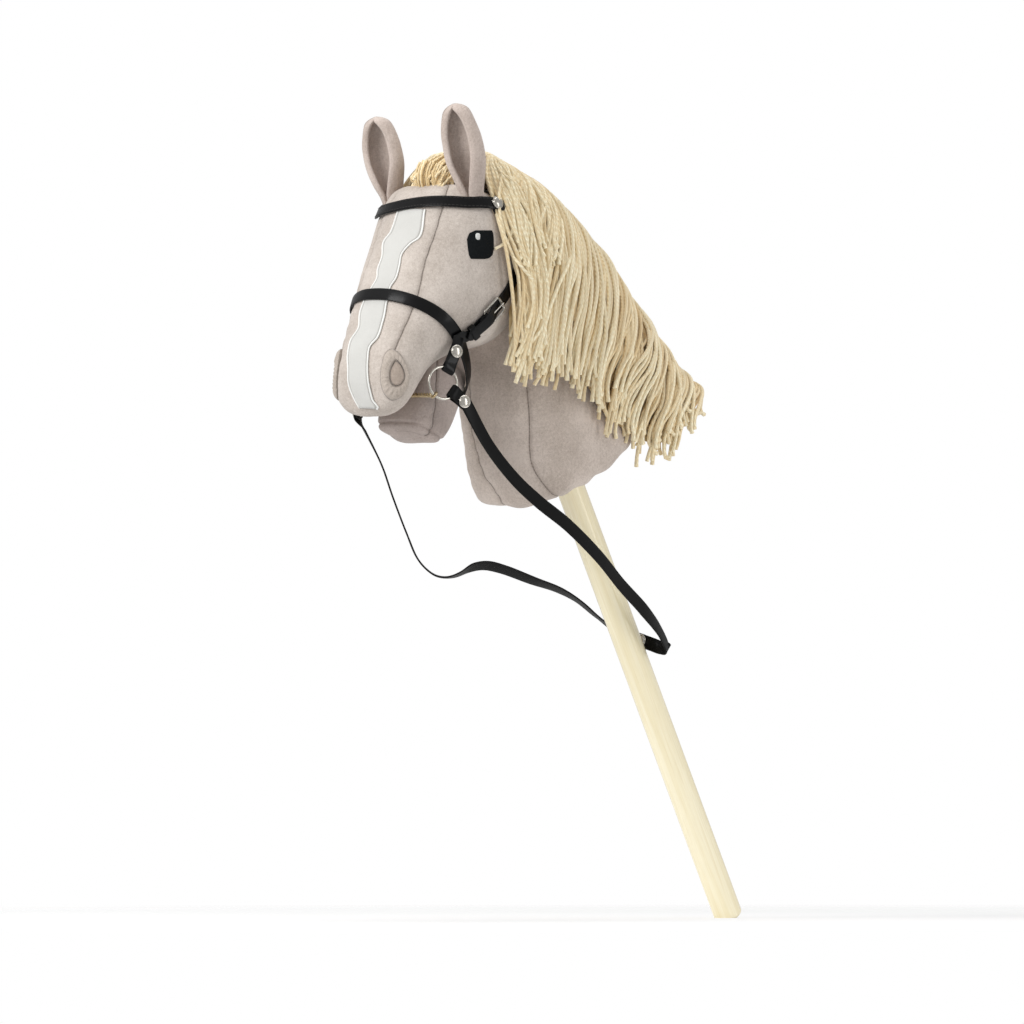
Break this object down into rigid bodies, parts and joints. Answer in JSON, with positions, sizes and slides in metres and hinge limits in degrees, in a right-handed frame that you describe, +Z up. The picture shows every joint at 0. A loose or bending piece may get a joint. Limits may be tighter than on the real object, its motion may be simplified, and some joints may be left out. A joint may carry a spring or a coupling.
{
  "type": "hobby horse",
  "caption": "Stuffed plush horse's head and neck on a wooden stick, with yarn mane and forelock, embroidered eyes, black bridle with mouth rings, buckles, bit and riveted reins.",
  "frame": {"origin": "centre of the flat at the foot of the stick", "axes": "+Z up as the horse is held, with the stick leaning forward 27 degrees, -Y the way the horse looks, +X to the horse's left"},
  "size_m": [0.158, 0.4641, 0.7176],
  "materials": {
    "plush": "short-pile grey-beige plush",
    "stuffing": "white fibre filling",
    "yarn": "loose cream yarn",
    "black_leather": "smooth black strap leather, stitched at the edges",
    "nickel": "polished nickel plate",
    "brass_wire": "drawn brass-coloured wire",
    "white_felt": "white felt",
    "black_thread": "black satin stitch",
    "lacquered_wood": "cream clear-lacquered wood"
  },
  "bodies": {
    "horse": {"stick": "lacquered_wood", "head_cover": "plush", "head_stuffing": "stuffing", "neck_cover": "plush", "neck_stuffing": "stuffing", "lower_jaw": "plush", "eye_left": "black_thread", "eye_right": "black_thread", "eye_glint_left": "white_felt", "eye_glint_right": "white_felt", "nostril_left": "plush", "nostril_right": "plush", "blaze": "white_felt", "browband": "black_leather", "headpiece": "black_leather", "browband_rivet_left": "nickel", "browband_rivet_right": "nickel", "ear_left": "plush", "ear_right": "plush", "noseband": "black_leather", "cheekpiece_left": "black_leather", "cheekpiece_right": "black_leather", "cheek_rivet_left": "nickel", "cheek_rivet_right": "nickel", "buckle_frame_left": "nickel", "buckle_frame_right": "nickel", "strap_keeper_left": "black_leather", "strap_keeper_right": "black_leather", "bit": "brass_wire", "mane_left": "yarn", "mane_right": "yarn", "mane_tape": "yarn", "forelock": "yarn"},
    "reins": {"rein_left": "black_leather", "rein_right": "black_leather", "rein_rivet_left": "nickel", "rein_rivet_right": "nickel", "rein_join_rivet": "nickel"},
    "left_ring": {"ring_left": "nickel"},
    "right_ring": {"ring_right": "nickel"},
    "left_tongue": {"buckle_tongue_left": "nickel"},
    "right_tongue": {"buckle_tongue_right": "nickel"}
  },
  "joints": [
    {"name": "reins_swing", "type": "hinge", "parent": "horse", "child": "reins", "pos_m": [0, -0.39874, 0.46896], "axis": [1, 0, 0], "range_deg": [0, 12]},
    {"name": "left_ring_spin", "type": "hinge", "parent": "horse", "child": "left_ring", "pos_m": [0.0515, -0.39874, 0.46896], "axis": [0.9659, -0.2364, 0.1053], "continuous": true},
    {"name": "right_ring_spin", "type": "hinge", "parent": "horse", "child": "right_ring", "pos_m": [-0.0515, -0.39874, 0.46896], "axis": [-0.9659, -0.2364, 0.1053], "continuous": true},
    {"name": "left_tongue_turn", "type": "hinge", "parent": "horse", "child": "left_tongue", "pos_m": [0.06305, -0.35619, 0.5251], "axis": [-0.1775, 0.7022, -0.6895], "range_deg": [0, 60]},
    {"name": "right_tongue_turn", "type": "hinge", "parent": "horse", "child": "right_tongue", "pos_m": [-0.06305, -0.35619, 0.5251], "axis": [-0.1775, -0.7022, 0.6895], "range_deg": [0, 60]}
  ]
}
